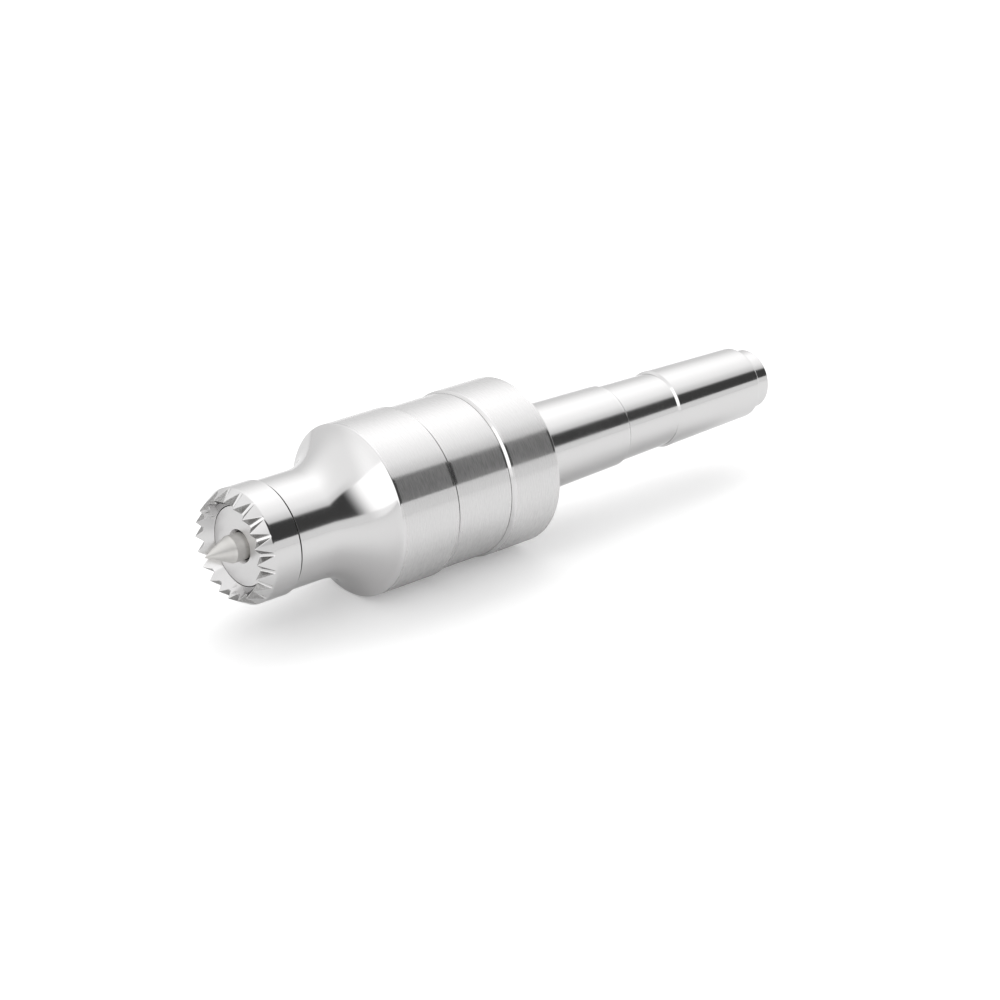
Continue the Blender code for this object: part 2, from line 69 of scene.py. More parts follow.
def rounded(corners, arc_points=6):
    """A turned profile from (station, radius, round) corners. Each corner becomes a circular arc, drawn as a
    rational quadratic curve whose middle weight is the sine of half the corner's angle, and each long side
    gets a point close to either end so that its shading stays flat."""
    corners = np.array(corners, float)
    place, rounds = corners[:, :2], corners[:, 2]
    before, after = np.roll(place, 1, 0) - place, np.roll(place, -1, 0) - place
    reach_before, reach_after = np.linalg.norm(before, axis=1), np.linalg.norm(after, axis=1)
    before, after = before / reach_before[:, None], after / reach_after[:, None]
    half = np.arccos(np.clip((before * after).sum(1), -NEARLY_STRAIGHT, NEARLY_STRAIGHT)) / 2
    cut = np.minimum(rounds / np.tan(half), SIDE_SHARE * np.minimum(reach_before, reach_after))
    start, end = place + before * cut[:, None], place + after * cut[:, None]
    t = np.linspace(0, 1, arc_points)[None, :, None]
    weights = (1 - t) ** 2, 2 * t * (1 - t) * np.sin(half)[:, None, None], t**2
    ends = start[:, None], place[:, None], end[:, None]
    arcs = sum(w * p for w, p in zip(weights, ends)) / sum(weights)
    points = arcs.reshape(-1, 2)
    apart = np.linalg.norm(np.diff(points, axis=0, prepend=points[:1] - 1), axis=1)
    points = points[apart > SAME_POINT]
    sides = np.diff(points, axis=0)
    length = np.linalg.norm(sides, axis=1, keepdims=True)
    inset = sides / length * SUPPORT_INSET
    threes = np.stack([points[:-1], points[:-1] + inset, points[1:] - inset], 1)
    keep = np.ones(threes.shape[:2], bool)
    keep[:, 1:] = length > 4 * SUPPORT_INSET
    return np.vstack([threes[keep], points[-1:]])


def turned_grid(name, stations, radii, ring=False):
    """A surface of revolution about X on a grid: row i, column j lies at stations[i, j] along the axis and at
    radii[i, j] from it, turned j steps round from the top. Rows run towards the shank on the outside. A
    ring's last row joins its first; on any other piece the end rows shrink to points on the axis."""
    rows, steps = stations.shape
    turn = 2 * np.pi * np.arange(steps) / steps
    points = np.stack([stations, radii * np.sin(turn), radii * np.cos(turn)], -1).reshape(-1, 3) * MM
    row, step = np.mgrid[0 : rows if ring else rows - 1, 0:steps]
    below, beside = (row + 1) % rows, (step + 1) % steps
    quads = np.stack(
        [row * steps + step, below * steps + step, below * steps + beside, row * steps + beside], -1
    ).reshape(-1, 4)
    mesh = bpy.data.meshes.new(name)
    mesh.from_pydata(points, [], quads)
    bm = bmesh.new()
    bm.from_mesh(mesh)
    bmesh.ops.remove_doubles(bm, verts=bm.verts, dist=WELD_DISTANCE)
    bm.to_mesh(mesh)
    bm.free()
    mesh.shade_smooth()
    mesh.set_sharp_from_angle(angle=SMOOTH_ANGLE)
    piece = bpy.data.objects.new(name, mesh)
    bpy.context.scene.collection.objects.link(piece)
    return piece


def turned(name, profile, ring=False, steps=TURN_STEPS):
    """The same profile of (station, radius) points at every step round the axis."""
    stations, radii = (np.repeat(profile[:, k : k + 1], steps, 1) for k in (0, 1))
    return turned_grid(name, stations, radii, ring)


class Wire:
    """An output socket of a shader node. Sums on wires and numbers add Math nodes to the same material."""

    def __init__(self, socket):
        self.socket = socket

    def node(self, kind, settings, sockets, output=0):
        """Adds any node: its settings are set first, then the values or wires of its sockets."""
        tree = self.socket.id_data
        node = tree.nodes.new(kind)
        for setting, value in settings.items():
            setattr(node, setting, value)
        for key, value in sockets.items():
            if isinstance(value, Wire):
                tree.links.new(value.socket, node.inputs[key])
            else:
                node.inputs[key].default_value = value
        return Wire(node.outputs[output])

    def maths(self, operation, *values):
        """Adds a Math node that does the operation on the values or wires."""
        return self.node("ShaderNodeMath", {"operation": operation}, dict(enumerate(values)))

    def __add__(self, other):
        return self.maths("ADD", self, other)

    __radd__ = __add__

    def __sub__(self, other):
        return self.maths("SUBTRACT", self, other)

    def __rsub__(self, other):
        return self.maths("SUBTRACT", other, self)

    def __mul__(self, other):
        return self.maths("MULTIPLY", self, other)

    __rmul__ = __mul__

    def between(self, low, high):
        """0 below low, 1 above high, and a smooth rise from one to the other."""
        sockets = {"Value": self, "From Min": low, "From Max": high}
        return self.node("ShaderNodeMapRange", {"interpolation_type": "SMOOTHSTEP"}, sockets)

    def near(self, stations, reach):
        """1 close to any of the stations, and a fall to 0 between the two distances of the reach."""
        share = 0.0 * self
        for station in stations:
            gap = self - station
            share = share.maths("MAXIMUM", share, 1 - gap.maths("ABSOLUTE", gap).between(*reach))
        return share

    def noise(self, cells_per_mm, detail):
        """Noise with the given number of cells to a millimetre, at the place that the wire carries."""
        sockets = {0: self, "Scale": cells_per_mm / MM}
        cells = self.node("ShaderNodeVectorMath", {"operation": "SCALE"}, sockets)
        return self.node("ShaderNodeTexNoise", {}, {"Vector": cells, "Scale": 1.0, "Detail": detail})

    def tint(self, dark, light):
        """A colour that goes from dark to light as the wire goes from 0 to 1. Either may be a wire."""
        dark, light = (colour if isinstance(colour, Wire) else (*colour, 1) for colour in (dark, light))
        return self.node("ShaderNodeMix", {"data_type": "RGBA"}, {"Factor": self, 6: dark, 7: light}, 2)

    def into(self, node, socket):
        """Links the wire to a socket of a node that is there already."""
        self.socket.id_data.links.new(self.socket, node.inputs[socket])


def new_finish(name, metallic):
    """A material with its Principled shader and a wire of the piece's Object coordinates."""
    material = bpy.data.materials.new(name)
    material.use_nodes = True
    tree = material.node_tree
    shader = tree.nodes["Principled BSDF"]
    shader.inputs["Metallic"].default_value = metallic
    return material, shader, Wire(tree.nodes.new("ShaderNodeTexCoord").outputs["Object"])


GRAZING_GREY = 0.82, 0.82, 0.82, 1
MILLED_STEEL = 0.22, 0.217, 0.213
# Painted shade: the dark colour laid into the seams, standing in for the shadow in the gaps between parts.
SEAM_SHADE_COLOUR = 0.15, 0.147, 0.142
EDGE_REACH = 0.1, 0.6
SEAM_SHADE_REACH = 0.15, 0.22
BRUSH_FADE, FACE_FADE = 0.6, 0.2
LATHE_ALONG, LATHE_AWAY = 0.8, 0.6
STROKES_PER_MM, STROKE_BREAKS_PER_MM, FEED_PER_MM = 6.0, 0.6, 3.0
SMUDGES_PER_MM, MOTTLE_PER_MM = 0.09, 5.0
WORN_PATCHES, DULL_PATCHES, MOTTLE_SPREAD = (0.3, 0.6), (0.4, 0.7), (0.3, 0.7)
MOTTLE_LEAST, MOTTLE_SWING = 0.6, 0.4
BASE_TONE, BRUSHED_TONE, STROKE_TONE = 0.35, 0.2, 0.08
FEED_TONE, WORN_TONE, SMUDGE_TONE = 0.15, 0.3, 0.2
FACE_SCATTER, MILLED_SCATTER, SEAM_SCATTER = 0.22, 0.16, 0.4
SMUDGE_SCATTER, WORN_GLOSS = 0.05, 0.04
FEED_DEPTH, FEED_STRENGTH, STROKE_RELIEF = 0.003, 0.2, 0.06
HAZE_ROUGHNESS, HAZE_SWING, NOISE_MIDDLE = 0.5, 0.35, 0.5
NO_DULL_FACE = -1000.0


def turned_steel(name, tones, polish, haze=0.0, barrel=(0, 0), edges=(), dull=NO_DULL_FACE, seams=()):
    """Steel as it leaves the lathe. A lathe coordinate grows along the axis and away from it, so that marks
    drawn on it run round the piece on its barrels and its faces alike. Between the barrel's two stations
    fine strokes round the axis lay a haze over the polish, up to the given share of the light, and the faces
    ahead of the dull station are left as turned. Feed marks give the bump, slow smudges shift the gloss, and
    the edges at the given stations are rubbed paler and smoother. At the seams' stations a dark, rougher band
    is painted in as shade, for the shadow that falls in the gaps between parts. Where the mesh has a milled
    share, the cutter has left the steel darker, mottled and rougher."""
    material, shader, place = new_finish(name, 1.0)
    shader.inputs["Specular Tint"].default_value = GRAZING_GREY
    x, y, z = (place.node("ShaderNodeSeparateXYZ", {}, {0: place}, k) * (1 / MM) for k in range(3))
    away = x.maths("SQRT", y * y + z * z)
    lathe = LATHE_ALONG * x + LATHE_AWAY * away
    round_y, round_z = y * STROKE_BREAKS_PER_MM, z * STROKE_BREAKS_PER_MM
    strokes_at = x.node("ShaderNodeCombineXYZ", {}, {0: lathe * STROKES_PER_MM, 1: round_y, 2: round_z})
    strokes = x.node("ShaderNodeTexNoise", {}, {"Vector": strokes_at, "Scale": 1.0, "Detail": 2.0})
    feed_sockets = {"W": lathe * FEED_PER_MM, "Scale": 1.0, "Detail": 3.0}
    feed = x.node("ShaderNodeTexNoise", {"noise_dimensions": "1D"}, feed_sockets)
    smudges = place.noise(SMUDGES_PER_MM, 4.0)
    mottle = place.noise(MOTTLE_PER_MM, 3.0)
    brushed = x.between(barrel[0], barrel[0] + BRUSH_FADE) - x.between(barrel[1] - BRUSH_FADE, barrel[1])
    turned_face = 1 - x.between(dull - FACE_FADE, dull)
    worn = x.near(edges, EDGE_REACH) * smudges.between(*WORN_PATCHES)
    # Painted shade: 1 close to each seam station, where a dark band stands in for the shadow in the gap.
    seam_shade = x.near(seams, SEAM_SHADE_REACH)
    milled = x.node("ShaderNodeAttribute", {"attribute_name": "milled"}, {}, "Fac")
    tone = BASE_TONE + (BRUSHED_TONE + STROKE_TONE * strokes) * brushed
    tone = tone + FEED_TONE * feed + WORN_TONE * worn + SMUDGE_TONE * smudges
    cutter_dark = milled * (MOTTLE_LEAST + MOTTLE_SWING * mottle.between(*MOTTLE_SPREAD))
    # The seam band is tinted last, to the painted shade colour, over every other tone.
    colour = seam_shade.tint(cutter_dark.tint(tone.tint(*tones), MILLED_STEEL), SEAM_SHADE_COLOUR)
    colour.into(shader, "Base Color")
    scatter = FACE_SCATTER * turned_face + MILLED_SCATTER * milled + SEAM_SCATTER * seam_shade
    roughness = polish + scatter + SMUDGE_SCATTER * smudges.between(*DULL_PATCHES) - WORN_GLOSS * worn
    roughness.into(shader, "Roughness")
    relief = feed + STROKE_RELIEF * strokes * brushed
    bump_sockets = {"Strength": FEED_STRENGTH, "Distance": FEED_DEPTH * MM, "Height": relief}
    bump = relief.node("ShaderNodeBump", {}, bump_sockets)
    bump.into(shader, "Normal")
    sharp, end = Wire(shader.outputs[0]), material.node_tree.nodes["Material Output"]
    hazy_sockets = {"Base Color": colour, "Metallic": 1.0, "Roughness": HAZE_ROUGHNESS, "Normal": bump}
    hazy = x.node("ShaderNodeBsdfPrincipled", {}, {**hazy_sockets, "Specular Tint": GRAZING_GREY})
    share = brushed * (haze + HAZE_SWING * (strokes - NOISE_MIDDLE))
    x.node("ShaderNodeMixShader", {}, {0: share, 1: sharp, 2: hazy}).into(end, "Surface")
    return material


def fit_piece(piece, material, body, slot, *nodes):
    """Gives the piece its finish and its place in the part: the body it moves with and the solids it
    stands for."""
    piece.data.materials.append(material)
    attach(piece, body)
    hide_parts(*nodes)


CRISP, BROKEN, EASED, ROUND = 0.05, 0.1, 0.2, 0.3
LAND_ROUND, TAIL_ROUND = 0.5, 0.4
COLLAR_FRONT, COLLAR_RADIUS, COLLAR_CHAMFER = -12.0, 16.55, 0.45
HOUSING_FLOOR, HOUSING_BORE = -2.5, 13.1
THREAD_BED, THREAD_BORE = -7.1, 14.8
RING_RELIEF_BED, RING_RELIEF = -1.7, 9.0
CLIP_POCKET_BED, CLIP_POCKET = 0.4, 7.0
WAIST_FRONT, WAIST_BACK, WAIST_RAMP, WAIST_CUT = 27.2, 41.0, 0.6, 0.45
LAND_END, BUTTON_FRONT, BUTTON_RADIUS, SHANK_END = 64.9, 65.8, 6.2, 69.0
CENTRE_MOUTH, CENTRE_FLOOR = 2.5, 66.4
PILOT_RADIUS, PILOT_END = 1.0, 63.5
arbor = turned(
    "taper_arbor_turned",
    rounded([
        (CLIP_POCKET_BED, 0, 0),
        (CLIP_POCKET_BED, CLIP_POCKET, EASED),
        (RING_RELIEF_BED, CLIP_POCKET, BROKEN),
        (RING_RELIEF_BED, RING_RELIEF, BROKEN),
        (HOUSING_FLOOR, RING_RELIEF, BROKEN),
        (HOUSING_FLOOR, HOUSING_BORE, BROKEN),
        (THREAD_BED, HOUSING_BORE, BROKEN),
        (THREAD_BED, THREAD_BORE, BROKEN),
        (COLLAR_FRONT, THREAD_BORE, BROKEN),
        (COLLAR_FRONT, COLLAR_RADIUS - COLLAR_CHAMFER, CRISP),
        (COLLAR_FRONT + COLLAR_CHAMFER, COLLAR_RADIUS, BROKEN),
        (0, COLLAR_RADIUS, ROUND),
        (0, taper(0), ROUND),
        (WAIST_FRONT - WAIST_RAMP, taper(WAIST_FRONT - WAIST_RAMP), CRISP),
        (WAIST_FRONT, taper(WAIST_FRONT) - WAIST_CUT, CRISP),
        (WAIST_BACK, taper(WAIST_BACK) - WAIST_CUT, CRISP),
        (WAIST_BACK + WAIST_CUT, taper(WAIST_BACK + WAIST_CUT), CRISP),
        (LAND_END, taper(LAND_END), LAND_ROUND),
        (BUTTON_FRONT, BUTTON_RADIUS, ROUND),
        (SHANK_END, BUTTON_RADIUS, TAIL_ROUND),
        (SHANK_END, CENTRE_MOUTH, BROKEN),
        (CENTRE_FLOOR, PILOT_RADIUS, BROKEN),
        (PILOT_END, PILOT_RADIUS, BROKEN),
        (PILOT_END, 0, 0),
    ]),
)
BODY_STEEL = (0.58, 0.575, 0.575), (0.7, 0.695, 0.695)
SATIN = 0.38
COLLAR_BRUSHED = -11.4, -0.4
COLLAR_WORN, WAIST_WORN, TAIL_WORN = (-11.4, 0), (26.6, 41.1), (65.0, SHANK_END)
arbor_steel = turned_steel(
    "arbor_ground_steel",
    BODY_STEEL,
    polish=0.115,
    haze=SATIN,
    barrel=COLLAR_BRUSHED,
    edges=(*COLLAR_WORN, *WAIST_WORN, *TAIL_WORN),
)
fit_piece(arbor, arbor_steel, "arbor", "body_steel", "taper_arbor")


# Bearing sleeve: the plain middle ring, turned from bar. It screws into the collar and clamps both bearings'
# outer rings between its front lip and the collar's floor. Its barrel is brushed round on the lathe.
SLEEVE_FRONT, SLEEVE_BACK, SLEEVE_RADIUS = -25.0, -12.1, 16.15
LIP_BACK, LIP_BORE, LIP_START, LIP_CLOSE = -22.5, 9.87, -23.5, -23.4
LIP_ROUND, SLEEVE_EDGE = 0.15, 0.06
THREAD_END, THREAD_RADIUS = -7.2, 14.7
sleeve = turned(
    "bearing_sleeve_turned",
    rounded([
        (LIP_START, LIP_BORE, 0),
        (SLEEVE_FRONT, LIP_BORE, LIP_ROUND),
        (SLEEVE_FRONT, SLEEVE_RADIUS, SLEEVE_EDGE),
        (SLEEVE_BACK, SLEEVE_RADIUS, BROKEN),
        (SLEEVE_BACK, THREAD_RADIUS, BROKEN),
        (THREAD_END, THREAD_RADIUS, ROUND),
        (THREAD_END, HOUSING_BORE, EASED),
        (LIP_BACK, HOUSING_BORE, BROKEN),
        (LIP_BACK, LIP_BORE, BROKEN),
        (LIP_CLOSE, LIP_BORE, 0),
    ]),
    ring=True,
)
# The seam station gets a painted dark band: shade in the gap between the sleeve's front and the nose's drum.
SLEEVE_BRUSHED, SLEEVE_SEAM = (-24.8, SLEEVE_BACK), -25.12
sleeve_steel = turned_steel(
    "sleeve_brushed_steel",
    BODY_STEEL,
    polish=0.1,
    haze=SATIN,
    barrel=SLEEVE_BRUSHED,
    edges=(SLEEVE_BACK,),
    seams=(SLEEVE_SEAM,),
)
fit_piece(sleeve, sleeve_steel, "arbor", "body_steel", "bearing_sleeve")


# Felt seal: a ring of pressed grey felt, pushed into the sleeve's lip. It wipes the nose's boss and keeps
# dust out of the front bearing.
GRAIN_ROUGHNESS, GRAIN_STRENGTH = 0.12, 0.5
CLOUDS_PER_MM = 0.35
CLOUD_SPREAD = 0.3, 0.7


def moulded(name, tones, roughness, grain, depth):
    """A soft or moulded surface: cloudy tone, a fine grain of the given size in millimetres that roughens it,
    and the same grain as bump of the given depth."""
    material, shader, place = new_finish(name, 0.0)
    fine = place.noise(1 / grain, 4.0)
    clouds = place.noise(CLOUDS_PER_MM, 3.0)
    tone = 0.5 * fine.between(*CLOUD_SPREAD) + 0.5 * clouds.between(*CLOUD_SPREAD)
    tone.tint(*tones).into(shader, "Base Color")
    (roughness + GRAIN_ROUGHNESS * fine).into(shader, "Roughness")
    bump_sockets = {"Strength": GRAIN_STRENGTH, "Distance": depth * MM, "Height": fine}
    fine.node("ShaderNodeBump", {}, bump_sockets).into(shader, "Normal")
    return material


FELT_FRONT, FELT_BACK, FELT_INSIDE, FELT_OUTSIDE = -24.65, -22.85, 7.77, 9.77
FELT_CORNER, FELT_LIP = 0.25, 0.5
felt_ring = turned(
    "front_seal_felt",
    rounded([
        (FELT_BACK, FELT_OUTSIDE, FELT_CORNER),
        (FELT_BACK, FELT_INSIDE, FELT_LIP),
        (FELT_FRONT, FELT_INSIDE, FELT_LIP),
        (FELT_FRONT, FELT_OUTSIDE, FELT_CORNER),
    ]),
    ring=True,
)
FELT_GREY = (0.36, 0.34, 0.3), (0.56, 0.53, 0.48)
felt = moulded("pressed_felt", FELT_GREY, roughness=0.85, grain=0.12, depth=0.08)
fit_piece(felt_ring, felt, "arbor", "seal_felt", "front_seal")


# Ball bearings: two sealed deep-groove bearings of one standard size. Ground and polished rings and balls, a
# moulded nylon cage that snaps over the balls, and a rubber seal on each side, sprung into the outer ring.
PITCH_RADIUS = 9.0
GROOVE_RADIUS = 2.53
GROOVE_POINTS = 25
BALL_RADIUS = 2.38
BALL_COUNT = 7
BALL_STEPS, BALL_POINTS = 48, 33
INNER_LAND, OUTER_LAND = 7.47, 10.53
BEARING_INSIDE, BEARING_OUTSIDE, BEARING_WIDTH = 5.0, 13.0, 8.0
RING_CORNER, LAND_INSET = 0.4, 1
SEAL_INSET, SEAL_THICKNESS, SEAL_DISH, SEAL_BEAD = 0.2, 0.5, 0.14, 0.15
SEAL_RUNNING_GAP, SEAL_SEAT_GAP = 0.3, 0.1
SEAL_INSIDE, SEAL_OUTSIDE = INNER_LAND + SEAL_RUNNING_GAP, OUTER_LAND - SEAL_SEAT_GAP
DISH_INSIDE, DISH_OUTSIDE, DISH_RAMP = 8.4, 9.9, 0.2
BEARING_STEEL = (0.62, 0.62, 0.635), (0.74, 0.74, 0.755)
RUBBER_BLACK = (0.018, 0.018, 0.019), (0.04, 0.04, 0.042)
NYLON_CREAM = (0.66, 0.62, 0.5), (0.78, 0.75, 0.65)
ring_steel = turned_steel("bearing_ground_steel", BEARING_STEEL, polish=0.1)
seal_rubber = moulded("nitrile_rubber", RUBBER_BLACK, roughness=0.5, grain=0.05, depth=0.01)
cage_nylon = moulded("cage_nylon_moulded", NYLON_CREAM, roughness=0.4, grain=0.08, depth=0.01)


def raceway(middle, side):
    """The ball groove, a circular arc about the ball's centre that ends on the lands: the middle plus the
    groove's radius times the sine, and the pitch radius plus or minus the same radius times the cosine."""
    half = math.acos((OUTER_LAND - PITCH_RADIUS) / GROOVE_RADIUS)
    turn = np.linspace(-half, half, GROOVE_POINTS)
    stations = middle + GROOVE_RADIUS * np.sin(turn)
    return np.stack([stations, PITCH_RADIUS + side * GROOVE_RADIUS * np.cos(turn)], 1)


def seal_outline(face, inward):
    """A seal's section: a flat lip, a pressed hollow and a bead at the outer ring, with a flat back."""
    dish, back = face + SEAL_DISH * inward, face + SEAL_THICKNESS * inward
    return rounded([
        (face, SEAL_OUTSIDE, SEAL_BEAD),
        (face, DISH_OUTSIDE + DISH_RAMP, BROKEN),
        (dish, DISH_OUTSIDE, BROKEN),
        (dish, DISH_INSIDE, BROKEN),
        (face, DISH_INSIDE - DISH_RAMP, BROKEN),
        (face, SEAL_INSIDE, BROKEN),
        (back, SEAL_INSIDE, BROKEN),
        (back, SEAL_OUTSIDE, SEAL_BEAD),
    ][::inward])


BEARINGS = ("front_bearing", -22.4, "front_balls"), ("rear_bearing", -10.6, "rear_balls")
for bearing, front, balls_body in BEARINGS:
    back = front + BEARING_WIDTH
    middle = (front + back) / 2
    outer_ring = turned(
        f"{bearing}_outer_ring_ground",
        np.vstack([
            rounded([
                (front + LAND_INSET, OUTER_LAND, 0),
                (front, OUTER_LAND, EASED),
                (front, BEARING_OUTSIDE, RING_CORNER),
                (back, BEARING_OUTSIDE, RING_CORNER),
                (back, OUTER_LAND, EASED),
                (back - LAND_INSET, OUTER_LAND, 0),
            ]),
            raceway(middle, 1)[::-1],
        ]),
        ring=True,
    )
    fit_piece(outer_ring, ring_steel, "arbor", "bearing_steel", f"{bearing}_outer_ring")
    inner_ring = turned(
        f"{bearing}_inner_ring_ground",
        np.vstack([
            rounded([
                (front + LAND_INSET, BEARING_INSIDE, 0),
                (front, BEARING_INSIDE, RING_CORNER),
                (front, INNER_LAND, EASED),
                (front + LAND_INSET, INNER_LAND, 0),
            ]),
            raceway(middle, -1),
            rounded([
                (back - LAND_INSET, INNER_LAND, 0),
                (back, INNER_LAND, EASED),
                (back, BEARING_INSIDE, RING_CORNER),
                (back - LAND_INSET, BEARING_INSIDE, 0),
            ]),
        ]),
        ring=True,
    )
    fit_piece(inner_ring, ring_steel, "head", "bearing_steel", f"{bearing}_inner_ring")
    for side, face, inward in (("work", front + SEAL_INSET, 1), ("shank", back - SEAL_INSET, -1)):
        seal = turned(f"{bearing}_{side}_side_seal_moulded", seal_outline(face, inward), ring=True)
        fit_piece(seal, seal_rubber, "arbor", "seal_rubber", f"{bearing}_{side}_side_seal")
    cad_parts[f"{bearing}_cage"].material_slots[0].material = cage_nylon
    arc = np.linspace(0, np.pi, BALL_POINTS)
    ball_profile = np.stack([middle - BALL_RADIUS * np.cos(arc), BALL_RADIUS * np.sin(arc)], 1)
    for number in range(BALL_COUNT):
        turn = 2 * np.pi * number / BALL_COUNT
        ball = turned(f"{bearing}_ball_{number + 1}_polished", ball_profile, steps=BALL_STEPS)
        centre = (0, PITCH_RADIUS * math.sin(turn) * MM, -PITCH_RADIUS * math.cos(turn) * MM)
        ball.data.transform(Matrix.Translation(centre))
        fit_piece(ball, ring_steel, balls_body, "bearing_steel", f"{bearing}_ball_{number + 1}")


# Spacers: two plain steel tubes, one between the bearings' outer rings and one between the inner rings, faced
# to the same length so that the clamped pair runs without end play.
SPACER_FRONT, SPACER_BACK = -14.3, -10.7
SPACER_BRUSHED = -15, -10
SPACERS = ("outer_spacer", "arbor", 11.1, 13.0), ("inner_spacer", "head", 5.0, 6.9)
for spacer, body, inside, outside in SPACERS:
    tube = turned(
        f"{spacer}_faced",
        rounded([
            (SPACER_BACK, inside, EASED),
            (SPACER_FRONT, inside, EASED),
            (SPACER_FRONT, outside, EASED),
            (SPACER_BACK, outside, EASED),
        ]),
        ring=True,
    )
    spacer_steel = turned_steel(
        f"{spacer}_steel",
        BODY_STEEL,
        polish=0.22,
        haze=0.2,
        barrel=SPACER_BRUSHED,
        edges=(SPACER_FRONT, SPACER_BACK),
    )
    fit_piece(tube, spacer_steel, body, "body_steel", spacer)


# Nose spindle: the part that turns with the work, one bar of steel. A neck flares out to a drum ahead of the
# sleeve, a journal runs back through both bearings, and a groove parts the crown's spigot from the neck.
# The blind hole for the point and its spring runs in from the front, and the grub screw's hole from below.
FLARE_FRONT, FLARE_END, FLARE_RADIUS, FLARE_RISE = -49.304, -39.0, 12.0, 5.85
FLARE_SPAN, FLARE_POINTS = (0.02, 0.995), 48
NECK_FRONT, NECK_RADIUS = -57.854, 10.55
GROOVE_CUT, GROOVE_WIDTH = 0.4, 0.3
SPIGOT_FRONT, SPIGOT_RADIUS = -63.754, 7.55
BORE_END, BORE_RADIUS, BORE_MOUTH, MOUTH_DEPTH = -36.934, 2.75, 3.25, 0.6
DRUM_FRONT, DRUM_BACK, DRUM_RADIUS = -38.82, -25.5, 16.7
BOSS_BACK, BOSS_RADIUS = -22.5, 7.47
JOURNAL_END, JOURNAL_RADIUS = -0.2, 4.9
CLIP_GROOVE_FRONT, CLIP_GROOVE_BACK, CLIP_GROOVE_RADIUS = -2.6, -1.4, 4.3
SPIGOT_EDGE, DRUM_ROUND = 0.08, 0.4
flare_turns = np.linspace(*FLARE_SPAN, FLARE_POINTS) * math.acos(1 - FLARE_RISE / FLARE_RADIUS)
flare_stations = FLARE_FRONT + FLARE_RADIUS * np.sin(flare_turns)
flare_radii = NECK_RADIUS + FLARE_RADIUS * (1 - np.cos(flare_turns))
nose = turned(
    "nose_spindle_turned",
    np.vstack([
        rounded([
            (BORE_END, 0, 0),
            (BORE_END, BORE_RADIUS, ROUND),
            (SPIGOT_FRONT + MOUTH_DEPTH, BORE_RADIUS, CRISP),
            (SPIGOT_FRONT, BORE_MOUTH, CRISP),
            (SPIGOT_FRONT, SPIGOT_RADIUS, SPIGOT_EDGE),
            (NECK_FRONT, SPIGOT_RADIUS, BROKEN),
            (NECK_FRONT, NECK_RADIUS - GROOVE_CUT, CRISP),
            (NECK_FRONT + GROOVE_WIDTH, NECK_RADIUS - GROOVE_CUT, CRISP),
            (NECK_FRONT + GROOVE_WIDTH, NECK_RADIUS, CRISP),
            (FLARE_FRONT, NECK_RADIUS, 0),
        ]),
        np.stack([flare_stations, flare_radii], 1),
        rounded([
            (FLARE_END, NECK_RADIUS + FLARE_RISE, 0),
            (DRUM_FRONT, DRUM_RADIUS, DRUM_ROUND),
            (DRUM_BACK, DRUM_RADIUS, BROKEN),
            (DRUM_BACK, BOSS_RADIUS, EASED),
            (BOSS_BACK, BOSS_RADIUS, EASED),
            (BOSS_BACK, JOURNAL_RADIUS, BROKEN),
            (CLIP_GROOVE_FRONT, JOURNAL_RADIUS, BROKEN),
            (CLIP_GROOVE_FRONT, CLIP_GROOVE_RADIUS, CRISP),
            (CLIP_GROOVE_BACK, CLIP_GROOVE_RADIUS, CRISP),
            (CLIP_GROOVE_BACK, JOURNAL_RADIUS, BROKEN),
            (JOURNAL_END, JOURNAL_RADIUS, ROUND),
            (JOURNAL_END, 0, 0),
        ]),
    ]),
)


def drilled(piece, outline, low, high):
    """Takes a straight hole out of the piece: an outline of (X, Y) points, carried along Z, low to high."""
    count = len(outline)
    ring = np.arange(count)
    points = np.vstack([np.column_stack([outline, np.full(count, level)]) for level in (low, high)]) * MM
    sides = np.stack([ring, (ring + 1) % count, (ring + 1) % count + count, ring + count], 1)
    mesh = bpy.data.meshes.new("drill")
    mesh.from_pydata(points, [], [*sides.tolist(), ring[::-1].tolist(), (ring + count).tolist()])
    cutter = bpy.data.objects.new("drill", mesh)
    bpy.context.scene.collection.objects.link(cutter)
    boolean = piece.modifiers.new("Drill", "BOOLEAN")
    boolean.operation = "DIFFERENCE"
    boolean.object = cutter
    graph = bpy.context.evaluated_depsgraph_get()
    cut = bpy.data.meshes.new_from_object(piece.evaluated_get(graph))
    piece.modifiers.clear()
    piece.data = cut
    cut.shade_smooth()
    cut.set_sharp_from_angle(angle=SMOOTH_ANGLE)
    bpy.data.objects.remove(cutter)


GRUB_STATION, GRUB_HOLE, GRUB_HOLE_START, GRUB_HOLE_POINTS = -52.954, 2.1, -12, 48
grub_turn = np.linspace(0, 2 * np.pi, GRUB_HOLE_POINTS, endpoint=False)
grub_hole = np.stack([GRUB_STATION + GRUB_HOLE * np.cos(grub_turn), GRUB_HOLE * np.sin(grub_turn)], 1)
drilled(nose, grub_hole, GRUB_HOLE_START, 0)
# The seams get painted dark bands: shade in the groove between crown and neck and in the gap between drum and
# sleeve.
DRUM_BRUSHED, DRUM_WORN, DRUM_SEAM = (-38.6, -25.7), -38.8, -25.35
LEFT_AS_TURNED = -63.0
nose_steel = turned_steel(
    "nose_brushed_steel",
    BODY_STEEL,
    polish=0.085,
    haze=SATIN,
    barrel=DRUM_BRUSHED,
    edges=(DRUM_WORN,),
    dull=LEFT_AS_TURNED,
    seams=(NECK_FRONT + GROOVE_WIDTH / 2, DRUM_SEAM),
)
fit_piece(nose, nose_steel, "head", "body_steel", "nose_spindle")


